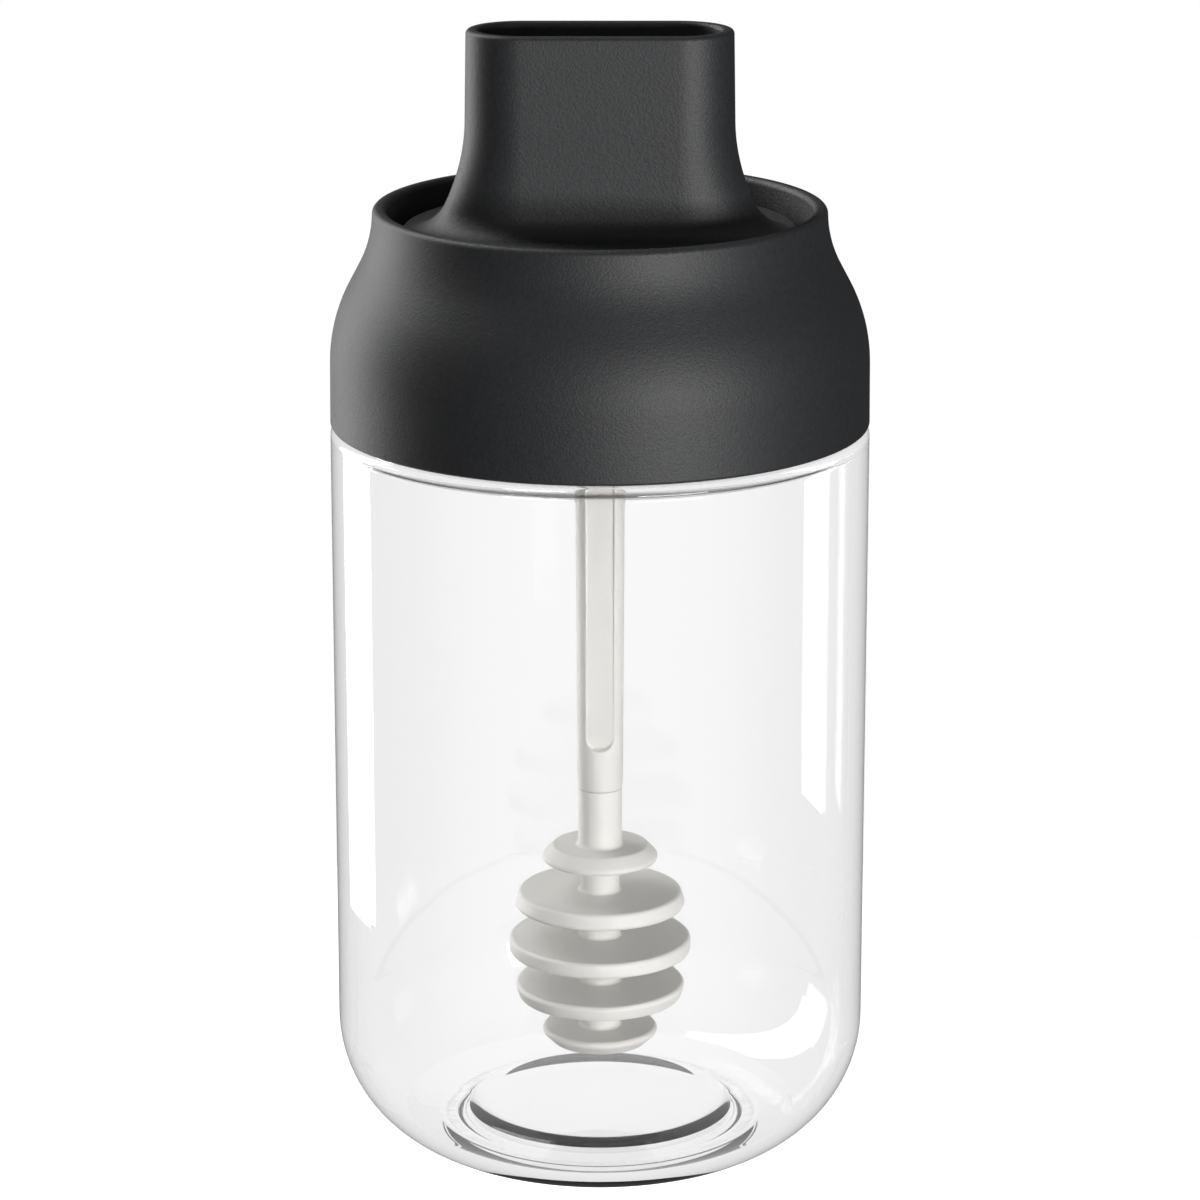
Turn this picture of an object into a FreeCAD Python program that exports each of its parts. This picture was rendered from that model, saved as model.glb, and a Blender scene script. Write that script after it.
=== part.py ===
import FreeCAD, Part
import math
import os

import Sketcher
from FreeCAD import Placement, Rotation, Vector

# Glass honey jar with a screw collar, a lift-out stopper and a dipper hanging from it.
# Millimetres, +Z up, origin at the centre of the base where the jar stands.

DIMENSIONS = {
    # Jar
    "jar_radius": 36.0,
    "jar_wall": 2.0,
    "heel_radius": 18.2,
    "heel_corner": 5.9,
    "foot_outer": 22.0,
    "foot_inner": 19.0,
    "foot_round": 1.0,
    "foot_inner_round": 0.5,
    "push_up": 2.0,
    "push_up_radius": 18.7,
    "push_up_round": 0.5,
    "base_thickness": 4.3,
    "base_crown": 0.8,
    "crown_edge": 18.1,
    "crown_edge_round": 0.4,
    "crown_shoulder": 16.6,
    "crown_round": 6.0,
    "floor_edge": 27.0,
    "floor_edge_round": 0.3,
    "inner_heel_corner": 8.95,
    "inner_heel_radius": 15.0,
    "shoulder_top": 100.7,
    "shoulder_round": 1.0,
    "ledge": 99.5,
    "ledge_round": 1.5,
    "inner_shoulder_round": 0.8,
    "neck_radius": 29.5,
    "mouth_radius": 26.5,
    "neck_top": 115.0,
    "lip_round": 1.2,
    # Collar
    "collar_bottom": 101.2,
    "collar_wall": 2.0,
    "collar_break": 115.0,
    "collar_lean": 0.12,
    "collar_belly_round": 22.0,
    "collar_edge_round": 0.4,
    "belly_drop": 0.55,
    "throat_wall": 0.7,
    "throat_round": 1.0,
    "rim_break": 125.7,
    "rim_throat_round": 16.0,
    "rim_radius": 30.1,
    "rim_top": 130.3,
    "rim_wall": 1.9,
    "rim_lean": 0.1,
    "rim_round": 0.8,
    "seat_height": 125.0,
    "seat_thickness": 2.0,
    "seat_round": 0.6,
    "bore_radius": 23.3,
    "sleeve_wall": 1.6,
    "sleeve_bottom": 112.8,
    "sleeve_round": 0.5,
    # Inner threaded cap
    "cap_bore": 31.0,
    "cap_wall": 1.6,
    "cap_bottom": 102.6,
    "cap_taper": 1.2,
    "cap_taper_height": 4.8,
    "cap_top_round": 0.8,
    "cap_inner_bevel": 0.8,
    "web_bottom": 116.4,
    "web_thickness": 1.8,
    "rib_width": 1.3,
    "rib_root": 0.4,
    "rib_reach": 1.05,
    "rib_length": 9.0,
    # Seals
    "gasket_outer": 30.1,
    "gasket_inner": 26.2,
    "gasket_thickness": 1.1,
    "gasket_gap": 0.1,
    "seal_bottom": 116.2,
    "seal_height": 4.4,
    "seal_seat": 1.0,
    "seal_gap": 0.12,
    "seal_root": 0.1,
    "lip_root": 0.2,
    "lip_tip_round": 0.3,
    # Stopper
    "flange_radius": 26.4,
    "flange_top": 127.4,
    "flange_gap": 0.15,
    "flange_round": 0.8,
    "flange_edge_round": 0.5,
    "handle_top": 153.8,
    "handle_half_width": 17.8,
    "handle_half_depth": 7.5,
    "handle_flat": 10.2,
    "handle_draft": 0.2,
    "handle_wall": 1.7,
    "handle_rim_round": 0.6,
    "flare_top": 142.0,
    "flare_spread": 4.4,
    "flare_foot_round": 3.0,
    "pocket_depth": 22.0,
    "plug_radius": 22.6,
    "plug_bottom": 113.0,
    "plug_wall": 2.2,
    "plug_floor": 2.0,
    "plug_round": 1.2,
    "plug_inner_round": 1.0,
    "socket_outer": 5.4,
    "socket_top": 122.0,
    "skirt_depth": 4.0,
    # Dipper
    "stem_top_radius": 3.4,
    "stem_low_radius": 3.15,
    "stem_collar": 5.0,
    "stem_collar_height": 1.5,
    "stem_collar_round": 0.3,
    "stem_foot": 50.0,
    "stem_foot_round": 0.4,
    "stem_top_round": 0.6,
    "stem_end_gap": 0.5,
    "panel_half_width": 1.85,
    "panel_floor": 2.45,
    "panel_corner_round": 1.65,
    "panel_end": 55.0,
    "panel_top": 109.0,
    "head_neck_radius": 3.0,
    "head_neck_round": 0.3,
    "spigot_radius": 1.75,
    "spigot_length": 10.0,
    "shaft_radius": 2.7,
    "disc_thickness": 2.2,
    "disc_spacing": 6.55,
    "head_middle": 27.6,
    "head_radius": 12.5,
    "head_half_height": 16.6,
    "disc_round": 0.55,
    "disc_root_round": 0.5,
}

DISC_COUNT = 5
RIB_COUNT = 24
FLARE_SECTIONS = 5
SLIDING_FIT = 0.05


class Length:
    """A length in millimetres, together with the spreadsheet expression that gives it."""

    def __init__(self, value, expression):
        self.value = float(value)
        self.expression = expression

    def join(self, other, sign, value):
        text = other.expression if isinstance(other, Length) else repr(float(other))
        return Length(value, "(%s %s %s)" % (self.expression, sign, text))

    def __add__(self, other):
        return self.join(other, "+", self.value + number(other))

    def __sub__(self, other):
        return self.join(other, "-", self.value - number(other))

    def __mul__(self, other):
        return self.join(other, "*", self.value * number(other))

    def __truediv__(self, other):
        return self.join(other, "/", self.value / number(other))

    def __rsub__(self, other):
        return self * -1 + other

    def __neg__(self):
        return self * -1

    def root(self):
        return Length(math.sqrt(self.value), "sqrt(%s)" % self.expression)


class Sizes:
    """The driving dimensions: a spreadsheet whose cells are read by name."""

    def __init__(self, doc, dimensions):
        self.sheet = doc.addObject("Spreadsheet::Sheet", "Sizes")
        for row, (alias, value) in enumerate(dimensions.items(), start=1):
            self.sheet.set("A%d" % row, alias.replace("_", " "))
            self.sheet.set("B%d" % row, str(value))
            self.sheet.setAlias("B%d" % row, alias)
        doc.recompute()

    def __getattr__(self, alias):
        return Length(self.sheet.get(alias), "Sizes." + alias)


def number(length):
    return length.value if isinstance(length, Length) else float(length)


def bind(obj, prop, length):
    """Give a property its size, and bind it to the spreadsheet where the size comes from there."""
    if isinstance(length, Length):
        obj.setExpression(prop, length.expression)
    else:
        setattr(obj, prop, length)


# ---------------------------------------------------------------- sketches


def new_body(doc, label):
    body = doc.addObject("PartDesign::Body", label)
    body.Label = label
    return body


def origin_plane(body, role):
    return next(feature for feature in body.Origin.OriginFeatures if feature.Role == role)


def new_sketch(body, role, name, offset=None):
    sketch = body.newObject("Sketcher::SketchObject", name)
    sketch.AttachmentSupport = [(origin_plane(body, role), "")]
    sketch.MapMode = "FlatFace"
    if offset is not None:
        sketch.AttachmentOffset = Placement(Vector(0, 0, number(offset)), Rotation())
        if isinstance(offset, Length):
            sketch.setExpression("AttachmentOffset.Base.z", offset.expression)
    return sketch


def constrain(sketch, kind, *arguments, length=None):
    """Add a constraint, with a size that follows the spreadsheet where one is given."""
    if length is None:
        sketch.addConstraint(Sketcher.Constraint(kind, *arguments))
        return
    index = sketch.addConstraint(Sketcher.Constraint(kind, *arguments, number(length)))
    if isinstance(length, Length):
        sketch.setExpression("Constraints[%d]" % index, length.expression)


def fix_point(sketch, geometry, end, across, up):
    """Hold a point at its two coordinates, on an axis where a coordinate is zero."""
    if abs(number(across)) < 1e-9:
        constrain(sketch, "PointOnObject", geometry, end, -2)
    else:
        constrain(sketch, "DistanceX", -1, 1, geometry, end, length=across)
    if abs(number(up)) < 1e-9:
        constrain(sketch, "PointOnObject", geometry, end, -1)
    else:
        constrain(sketch, "DistanceY", -1, 1, geometry, end, length=up)


class Corner:
    """A corner of an outline, sharp or rounded, with where its rounding starts and ends."""

    def __init__(self, across, up, rounding=None):
        self.across, self.up, self.rounding = across, up, rounding
        self.point = Vector(number(across), number(up), 0)
        self.entry = self.exit = self.point

    def shape(self, before, after):
        if self.rounding is None:
            return
        radius = number(self.rounding)
        back = (before.point - self.point).normalize()
        ahead = (after.point - self.point).normalize()
        half_angle = back.getAngle(ahead) / 2
        run = radius / math.tan(half_angle)
        self.entry = self.point + back * run
        self.exit = self.point + ahead * run
        bisector = (back + ahead).normalize()
        self.centre = self.point + bisector * (radius / math.sin(half_angle))
        self.turns_left = back.cross(ahead).z < 0

    def arc(self):
        first, last = (self.entry, self.exit) if self.turns_left else (self.exit, self.entry)
        circle = Part.Circle(self.centre, Vector(0, 0, 1), number(self.rounding))
        angles = [math.atan2(p.y - self.centre.y, p.x - self.centre.x) for p in (first, last)]
        return Part.ArcOfCircle(circle, angles[0], angles[1])


def outline(sketch, corners):
    """Close an outline of straight sides through the corners, with arcs at the rounded ones."""
    corners = [Corner(*corner) for corner in corners]
    count = len(corners)
    for i, corner in enumerate(corners):
        corner.shape(corners[i - 1], corners[(i + 1) % count])
    sides = []
    for i, corner in enumerate(corners):
        after = corners[(i + 1) % count]
        sides.append(sketch.addGeometry(Part.LineSegment(corner.exit, after.entry), False))
    for i, corner in enumerate(corners):
        side_in, side_out = sides[i - 1], sides[i]
        if corner.rounding is None:
            constrain(sketch, "Coincident", side_in, 2, side_out, 1)
            fix_point(sketch, side_out, 1, corner.across, corner.up)
            continue
        arc = sketch.addGeometry(corner.arc(), False)
        arc_in, arc_out = (1, 2) if corner.turns_left else (2, 1)
        constrain(sketch, "Tangent", side_in, 2, arc, arc_in)
        constrain(sketch, "Tangent", arc, arc_out, side_out, 1)
        constrain(sketch, "Radius", arc, length=corner.rounding)
        vertex = sketch.addGeometry(Part.Point(corner.point), True)
        constrain(sketch, "PointOnObject", vertex, 1, side_in)
        constrain(sketch, "PointOnObject", vertex, 1, side_out)
        fix_point(sketch, vertex, 1, corner.across, corner.up)


def revolve(body, name, corners, kind="PartDesign::Revolution"):
    """Turn an outline of (radius, height) corners about the Z axis."""
    sketch = new_sketch(body, "XZ_Plane", name + "_profile")
    outline(sketch, corners)
    feature = body.newObject(kind, name)
    feature.Profile = sketch
    feature.ReferenceAxis = (sketch, ["V_Axis"])
    feature.Angle = 360
    return feature


# ---------------------------------------------------------------- glass


def glass_jar(doc, size):
    body = new_body(doc, "glass_jar")
    inner_radius = size.jar_radius - size.jar_wall
    crown_top = size.base_thickness + size.base_crown
    revolve(body, "glass", [
        (0, size.push_up),
        (size.push_up_radius, size.push_up, size.push_up_round),
        (size.foot_inner, 0, size.foot_inner_round),
        (size.foot_outer, 0, size.foot_round),
        (size.jar_radius, size.heel_corner, size.heel_radius),
        (size.jar_radius, size.shoulder_top, size.shoulder_round),
        (size.neck_radius, size.shoulder_top, size.shoulder_round),
        (size.neck_radius, size.neck_top, size.lip_round),
        (size.mouth_radius, size.neck_top, size.lip_round),
        (size.mouth_radius, size.ledge, size.ledge_round),
        (inner_radius, size.ledge, size.inner_shoulder_round),
        (inner_radius, size.inner_heel_corner, size.inner_heel_radius),
        (size.floor_edge, size.base_thickness, size.floor_edge_round),
        (size.crown_edge, size.base_thickness, size.crown_edge_round),
        (size.crown_shoulder, crown_top, size.crown_round),
        (0, crown_top),
    ])
    return body


# ---------------------------------------------------------------- collar


def collar_shell(doc, size):
    body = new_body(doc, "collar_shell")
    rim_inner = size.rim_radius - size.rim_wall
    sleeve_outer = size.bore_radius + size.sleeve_wall
    seat_underside = size.seat_height - size.seat_thickness
    inner_radius = size.jar_radius - size.collar_wall
    revolve(body, "shell", [
        (size.jar_radius, size.collar_bottom, size.collar_edge_round),
        (size.jar_radius - size.collar_lean, size.collar_break, size.collar_belly_round),
        (size.rim_radius + size.rim_lean, size.rim_break, size.rim_throat_round),
        (size.rim_radius, size.rim_top, size.rim_round),
        (rim_inner, size.rim_top, size.rim_round),
        (rim_inner, size.seat_height, size.seat_round),
        (size.bore_radius, size.seat_height, size.sleeve_round),
        (size.bore_radius, size.sleeve_bottom, size.sleeve_round),
        (sleeve_outer, size.sleeve_bottom, size.sleeve_round),
        (sleeve_outer, seat_underside, size.seat_round),
        (size.rim_radius - size.throat_wall, seat_underside, size.throat_round),
        (inner_radius, size.collar_break - size.belly_drop, size.collar_belly_round - size.collar_wall),
        (inner_radius, size.collar_bottom, size.collar_edge_round),
    ])
    return body


def collar_thread_ring(doc, size):
    body = new_body(doc, "collar_thread_ring")
    outer = size.cap_bore + size.cap_wall
    web_top = size.web_bottom + size.web_thickness
    hub = size.bore_radius + size.sleeve_wall + SLIDING_FIT
    revolve(body, "cap", [
        (size.cap_bore, size.cap_bottom),
        (outer, size.cap_bottom),
        (outer, web_top - size.cap_taper_height),
        (outer - size.cap_taper, web_top, size.cap_top_round),
        (hub, web_top),
        (hub, size.web_bottom),
        (size.cap_bore - size.cap_inner_bevel, size.web_bottom),
        (size.cap_bore, size.web_bottom - size.cap_inner_bevel),
    ])
    sketch = new_sketch(body, "XY_Plane", "rib_section", size.cap_bottom)
    half = size.rib_width / 2
    outline(sketch, [
        (outer - size.rib_root, -half),
        (outer + size.rib_reach, -half),
        (outer + size.rib_reach, half),
        (outer - size.rib_root, half),
    ])
    rib = body.newObject("PartDesign::Pad", "rib")
    rib.Profile = sketch
    bind(rib, "Length", size.rib_length)
    doc.recompute()
    ribs = body.newObject("PartDesign::PolarPattern", "drive_ribs")
    ribs.Originals = [rib]
    ribs.Axis = (sketch, ["N_Axis"])
    ribs.Angle = 360
    ribs.Occurrences = RIB_COUNT
    body.Tip = ribs
    return body


def flat_ring(doc, label, outer, inner, bottom, height):
    """A washer: one cylinder cut from another."""
    discs = []
    for name, radius in (("outer", outer), ("inner", inner)):
        disc = doc.addObject("Part::Cylinder", "%s_%s" % (label, name))
        bind(disc, "Radius", radius)
        bind(disc, "Height", height)
        disc.setExpression("Placement.Base.z", bottom.expression)
        discs.append(disc)
    ring = doc.addObject("Part::Cut", label)
    ring.Label = label
    ring.Base, ring.Tool = discs
    return ring


def jar_gasket(doc, size):
    bottom = size.web_bottom - size.gasket_gap - size.gasket_thickness
    return flat_ring(doc, "jar_gasket", size.gasket_outer, size.gasket_inner, bottom, size.gasket_thickness)


# ---------------------------------------------------------------- stopper


def oval_section(sketch, flat, half_width, half_depth):
    """Flat front and back joined by half-ellipse ends."""
    reach = half_width - flat
    x, y = number(flat), number(half_depth)
    front = sketch.addGeometry(Part.LineSegment(Vector(-x, -y, 0), Vector(x, -y, 0)), False)
    back = sketch.addGeometry(Part.LineSegment(Vector(x, y, 0), Vector(-x, y, 0)), False)
    fix_point(sketch, front, 1, -flat, -half_depth)
    fix_point(sketch, front, 2, flat, -half_depth)
    constrain(sketch, "DistanceX", -1, 1, back, 1, length=flat)
    constrain(sketch, "DistanceX", -1, 1, back, 2, length=-flat)
    for sign in (1, -1):
        ellipse = Part.Ellipse(Vector(sign * x, 0, 0), number(reach), y)
        start = -sign * math.pi / 2
        end = sketch.addGeometry(Part.ArcOfEllipse(ellipse, start, start + math.pi), False)
        sketch.exposeInternalGeometry(end)
        major = end + 1
        fix_point(sketch, end, 3, flat * sign, 0)
        constrain(sketch, "Horizontal", major)
        constrain(sketch, "Distance", major, length=reach * 2)
        front_end, back_end = (1, 2) if sign > 0 else (2, 1)
        constrain(sketch, "Coincident", front, 2 if sign > 0 else 1, end, front_end)
        constrain(sketch, "Coincident", back, 1 if sign > 0 else 2, end, back_end)


def loft(doc, body, name, sections, kind="PartDesign::AdditiveLoft", ruled=False):
    """Join oval sections, each given as (height, flat, half_width, half_depth)."""
    sketches = []
    for i, (height, *oval) in enumerate(sections):
        sketch = new_sketch(body, "XY_Plane", "%s_section_%d" % (name, i), height)
        oval_section(sketch, *oval)
        sketches.append(sketch)
    doc.recompute()
    feature = body.newObject(kind, name)
    feature.Profile = sketches[0]
    feature.Sections = sketches[1:]
    feature.Ruled = ruled
    doc.recompute()
    return feature


def level_edges(shape, height, reach, tolerance=0.05):
    """Names of the edges that lie flat at a height, no further than reach from the middle."""
    names = []
    for i, edge in enumerate(shape.Edges, start=1):
        box = edge.BoundBox
        flat = abs(box.ZMin - number(height)) < tolerance and box.ZLength < tolerance
        if flat and max(box.XMax, -box.XMin) < number(reach) + tolerance:
            names.append("Edge%d" % i)
    return names


def fillet(doc, body, name, base, edges, radius):
    feature = body.newObject("PartDesign::Fillet", name)
    feature.Base = (base, edges)
    bind(feature, "Radius", radius)
    doc.recompute()
    return feature


def stopper_handle(doc, size):
    """A round flange and a tall hollow oval grip, joined by a flare that widens to each side only."""
    body = new_body(doc, "stopper_handle")
    underside = size.seat_height + size.flange_gap
    skirt_outer = size.plug_radius - size.plug_wall - SLIDING_FIT
    skirt_inner = skirt_outer - size.handle_wall
    revolve(body, "flange", [
        (0, size.flange_top),
        (size.flange_radius, size.flange_top, size.flange_round),
        (size.flange_radius, underside, size.flange_edge_round),
        (skirt_outer, underside),
        (skirt_outer, underside - size.skirt_depth),
        (skirt_inner, underside - size.skirt_depth),
        (skirt_inner, underside),
        (0, underside),
    ])
    flat, half_width, half_depth = size.handle_flat, size.handle_half_width, size.handle_half_depth
    flare = []
    for i in range(FLARE_SECTIONS):
        step = i / (FLARE_SECTIONS - 1)
        height = size.flare_top - (size.flare_top - size.flange_top) * step
        flare.append((height, flat, half_width + size.flare_spread * step ** 2, half_depth))
    loft(doc, body, "flare", flare)
    draft, wall = size.handle_draft, size.handle_wall
    top_width, top_depth = half_width - draft, half_depth - draft
    loft(doc, body, "grip", [
        (size.flare_top, flat, half_width, half_depth),
        (size.handle_top, flat, top_width, top_depth),
    ], ruled=True)
    floor = size.handle_top - size.pocket_depth
    pocket = loft(doc, body, "grip_pocket", [
        (floor, flat, top_width - wall - draft * 2, top_depth - wall - draft * 2),
        (size.handle_top, flat, top_width - wall, top_depth - wall),
    ], kind="PartDesign::SubtractiveLoft", ruled=True)
    core_sketch = new_sketch(body, "XY_Plane", "core_section", underside)
    oval_section(core_sketch, flat, top_width - wall - draft * 2, top_depth - wall - draft * 2)
    core = body.newObject("PartDesign::Pocket", "grip_core")
    core.Profile = core_sketch
    core.Reversed = True
    bind(core, "Length", floor - wall - underside)
    doc.recompute()
    foot = level_edges(core.Shape, size.flange_top, half_width + size.flare_spread)
    blend = fillet(doc, body, "flare_foot", core, foot, size.flare_foot_round)
    rim = level_edges(blend.Shape, size.handle_top, half_width)
    rim_fillet = fillet(doc, body, "grip_rim", blend, rim, size.handle_rim_round)
    body.Tip = rim_fillet
    if not pocket.Shape.Volume > core.Shape.Volume:
        raise RuntimeError("the core under the grip cuts nothing")
    return body


def stopper_plug(doc, size):
    body = new_body(doc, "stopper_plug")
    bore = size.stem_top_radius + SLIDING_FIT
    inner = size.plug_radius - size.plug_wall
    floor = size.plug_bottom + size.plug_floor
    groove = size.plug_radius - size.seal_seat
    groove_bottom = size.seal_bottom - SLIDING_FIT
    groove_top = size.seal_bottom + size.seal_height + SLIDING_FIT
    revolve(body, "plug", [
        (bore, size.plug_bottom),
        (size.plug_radius, size.plug_bottom, size.plug_round),
        (size.plug_radius, groove_bottom),
        (groove, groove_bottom),
        (groove, groove_top),
        (size.plug_radius, groove_top),
        (size.plug_radius, size.seat_height - SLIDING_FIT),
        (inner, size.seat_height - SLIDING_FIT),
        (inner, floor, size.plug_inner_round),
        (size.socket_outer, floor, size.plug_inner_round),
        (size.socket_outer, size.socket_top),
        (bore, size.socket_top),
    ])
    return body


def stopper_seal(doc, size):
    """Silicone ring with two rounded lips that wipe the bore of the collar."""
    body = new_body(doc, "stopper_seal")
    inner = size.plug_radius - size.seal_seat + SLIDING_FIT
    root = size.plug_radius - size.seal_root
    lip_reach = size.bore_radius - size.seal_gap
    lip_pitch = size.seal_height / 2
    corners = [(inner, size.seal_bottom), (root, size.seal_bottom)]
    for lip in range(2):
        low = size.seal_bottom + lip_pitch * lip
        corners.append((root, low + size.lip_root))
        corners.append((lip_reach, low + lip_pitch / 2, size.lip_tip_round))
        corners.append((root, low + lip_pitch - size.lip_root))
    top = size.seal_bottom + size.seal_height
    corners += [(root, top), (inner, top)]
    revolve(body, "seal", corners)
    return body


# ---------------------------------------------------------------- dipper


def dipper_stem(doc, size):
    body = new_body(doc, "dipper_stem")
    under_plug = size.plug_bottom - SLIDING_FIT
    bore = size.spigot_radius + SLIDING_FIT
    bore_top = size.stem_foot + size.spigot_length + size.stem_end_gap
    stem_top = size.socket_top - size.stem_end_gap
    stem = revolve(body, "stem", [
        (0, bore_top),
        (bore, bore_top),
        (bore, size.stem_foot),
        (size.stem_low_radius, size.stem_foot, size.stem_foot_round),
        (size.stem_top_radius, under_plug - size.stem_collar_height),
        (size.stem_collar, under_plug - size.stem_collar_height, size.stem_collar_round),
        (size.stem_collar, under_plug, size.stem_collar_round),
        (size.stem_top_radius, under_plug),
        (size.stem_top_radius, stem_top, size.stem_top_round),
        (0, stem_top),
    ])
    sketch = new_sketch(body, "XZ_Plane", "panel_outline", size.panel_floor)
    half = size.panel_half_width
    outline(sketch, [
        (-half, size.panel_end, size.panel_corner_round),
        (half, size.panel_end, size.panel_corner_round),
        (half, size.panel_top),
        (-half, size.panel_top),
    ])
    panel = body.newObject("PartDesign::Pocket", "front_panel")
    panel.Profile = sketch
    panel.Reversed = True
    bind(panel, "Length", size.stem_top_radius)
    doc.recompute()
    if not stem.Shape.Volume > panel.Shape.Volume:
        raise RuntimeError("the panel cuts nothing")
    body.Tip = panel
    return body


def head_reach(size, height):
    """Radius of the egg shape that the discs are trimmed to, at a height."""
    part = (height - size.head_middle) / size.head_half_height
    return (1 - part * part).root() * size.head_radius


def dipper_head(doc, size):
    """Five discs trimmed to an egg shape on a shaft, with a spigot that goes up into the stem."""
    body = new_body(doc, "dipper_head")
    half = size.disc_thickness / 2
    shaft = size.shaft_radius
    lowest = size.head_middle - size.disc_spacing * ((DISC_COUNT - 1) / 2)
    corners = [(0, lowest - half)]
    for i in range(DISC_COUNT):
        middle = lowest + size.disc_spacing * i
        if i > 0:
            corners.append((shaft, middle - half, size.disc_root_round))
        corners.append((head_reach(size, middle - half), middle - half, size.disc_round))
        corners.append((head_reach(size, middle + half), middle + half, size.disc_round))
        above = shaft if i < DISC_COUNT - 1 else size.head_neck_radius
        corners.append((above, middle + half, size.disc_root_round))
    spigot_top = size.stem_foot + size.spigot_length
    corners += [
        (size.head_neck_radius, size.stem_foot - SLIDING_FIT, size.head_neck_round),
        (size.spigot_radius, size.stem_foot - SLIDING_FIT),
        (size.spigot_radius, spigot_top),
        (0, spigot_top),
    ]
    revolve(body, "head", corners)
    return body


# ---------------------------------------------------------------- document


def check(doc, parts):
    for obj in doc.Objects:
        if "Invalid" in obj.State or "Error" in obj.State:
            raise RuntimeError("%s failed: %s" % (obj.Name, obj.State))
    for part in parts:
        if part.Shape.isNull() or not part.Shape.isValid():
            raise RuntimeError("%s has no valid shape" % part.Label)


def main():
    doc = FreeCAD.newDocument("honey_jar")
    size = Sizes(doc, DIMENSIONS)
    makers = [
        glass_jar,
        collar_shell,
        collar_thread_ring,
        jar_gasket,
        stopper_handle,
        stopper_plug,
        stopper_seal,
        dipper_stem,
        dipper_head,
    ]
    parts = [make(doc, size) for make in makers]
    doc.recompute()
    check(doc, parts)
    os.makedirs("parts", exist_ok=True)
    for part in parts:
        shape = part.Shape
        print("%-22s %8.1f mm3, %d faces" % (part.Label, shape.Volume, len(shape.Faces)))
        shape.exportStep("parts/%s.step" % part.Label)


main()
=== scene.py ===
import math

import bmesh
import bpy
import numpy as np
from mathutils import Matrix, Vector

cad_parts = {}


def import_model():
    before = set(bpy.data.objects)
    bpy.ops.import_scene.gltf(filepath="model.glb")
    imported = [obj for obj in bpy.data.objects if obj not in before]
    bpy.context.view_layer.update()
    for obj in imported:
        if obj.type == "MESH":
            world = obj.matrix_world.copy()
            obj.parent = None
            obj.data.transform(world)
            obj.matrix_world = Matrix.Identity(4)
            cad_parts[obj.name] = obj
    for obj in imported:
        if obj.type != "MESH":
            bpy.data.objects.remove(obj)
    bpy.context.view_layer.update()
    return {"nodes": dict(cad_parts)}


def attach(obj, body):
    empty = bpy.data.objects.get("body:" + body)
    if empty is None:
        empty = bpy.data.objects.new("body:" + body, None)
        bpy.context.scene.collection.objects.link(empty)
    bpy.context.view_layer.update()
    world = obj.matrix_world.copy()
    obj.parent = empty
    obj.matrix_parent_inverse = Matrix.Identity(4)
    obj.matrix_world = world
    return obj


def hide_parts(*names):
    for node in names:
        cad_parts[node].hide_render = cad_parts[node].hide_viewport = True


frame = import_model()

MM = 0.001

# ---------------------------------------------------------------- sizes, in millimetres

JAR_RADIUS = 36.0
JAR_WALL = 2.0
HEEL_RADIUS = 18.2
HEEL_CORNER = 5.9
FOOT_OUTER = 22.0
FOOT_INNER = 19.8
FOOT_ROUND = 2.5
FOOT_INNER_ROUND = 0.5
PUSH_UP = 2.0
PUSH_UP_RADIUS = 18.8
PUSH_UP_ROUND = 0.5
BASE_THICKNESS = 4.3
BASE_CROWN = 0.8
CROWN_EDGE = 18.1
CROWN_EDGE_ROUND = 0.4
CROWN_SHOULDER = 16.6
CROWN_ROUND = 6.0
FLOOR_EDGE = 27.0
FLOOR_EDGE_ROUND = 0.3
INNER_HEEL_CORNER = 8.95
INNER_HEEL_RADIUS = 15.0
SHOULDER_TOP = 100.7
SHOULDER_ROUND = 1.0
LEDGE = 99.5
LEDGE_ROUND = 1.5
INNER_SHOULDER_ROUND = 0.8
NECK_RADIUS = 29.5
MOUTH_RADIUS = 26.5
NECK_TOP = 115.0
LIP_ROUND = 1.2
THREAD_PITCH = 4.0
THREAD_START = 105.4
THREAD_TURNS = 1.3
THREAD_REACH = 1.1
THREAD_WIDTH = 2.0
THREAD_FADE = 0.06
THREAD_FLANK = 2.2

COLLAR_BOTTOM = 101.2
COLLAR_WALL = 2.0
COLLAR_BREAK = 115.0
COLLAR_LEAN = 0.12
COLLAR_EDGE_ROUND = 0.4
BELLY_DROP = 0.55
THROAT_WALL = 0.7
THROAT_ROUND = 1.0
COLLAR_BELLY_ROUND = 22.0
RIM_BREAK = 125.7
RIM_THROAT_ROUND = 16.0
RIM_RADIUS = 30.1
RIM_TOP = 130.3
RIM_WALL = 1.9
RIM_LEAN = 0.1
RIM_ROUND = 0.8
SEAT_HEIGHT = 125.0
SEAT_THICKNESS = 2.0
SEAT_ROUND = 0.6
BORE_RADIUS = 23.3
SLEEVE_WALL = 1.6
SLEEVE_BOTTOM = 112.8
SLEEVE_ROUND = 0.5

FLANGE_RADIUS = 26.4
FLANGE_TOP = 127.4
FLANGE_BOTTOM = 125.15
FLANGE_ROUND = 0.8
HANDLE_TOP = 153.8
HANDLE_HALF_WIDTH = 17.8
HANDLE_HALF_DEPTH = 7.5
HANDLE_FLAT = 10.2
HANDLE_DRAFT = 0.2
HANDLE_WALL = 1.7
HANDLE_RIM_ROUND = 0.6
FLARE_TOP = 142.0
FLARE_SPREAD = 4.4
FLARE_FOOT_ROUND = 3.0
POCKET_DEPTH = 22.0
SKIRT_DROP = 4.0
SKIRT_ROUND = 0.3
SKIRT_ROOT_ROUND = 0.4
FLANGE_UNDER_ROUND = 0.5
FLANGE_CAP_RADIUS = 0.5

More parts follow.
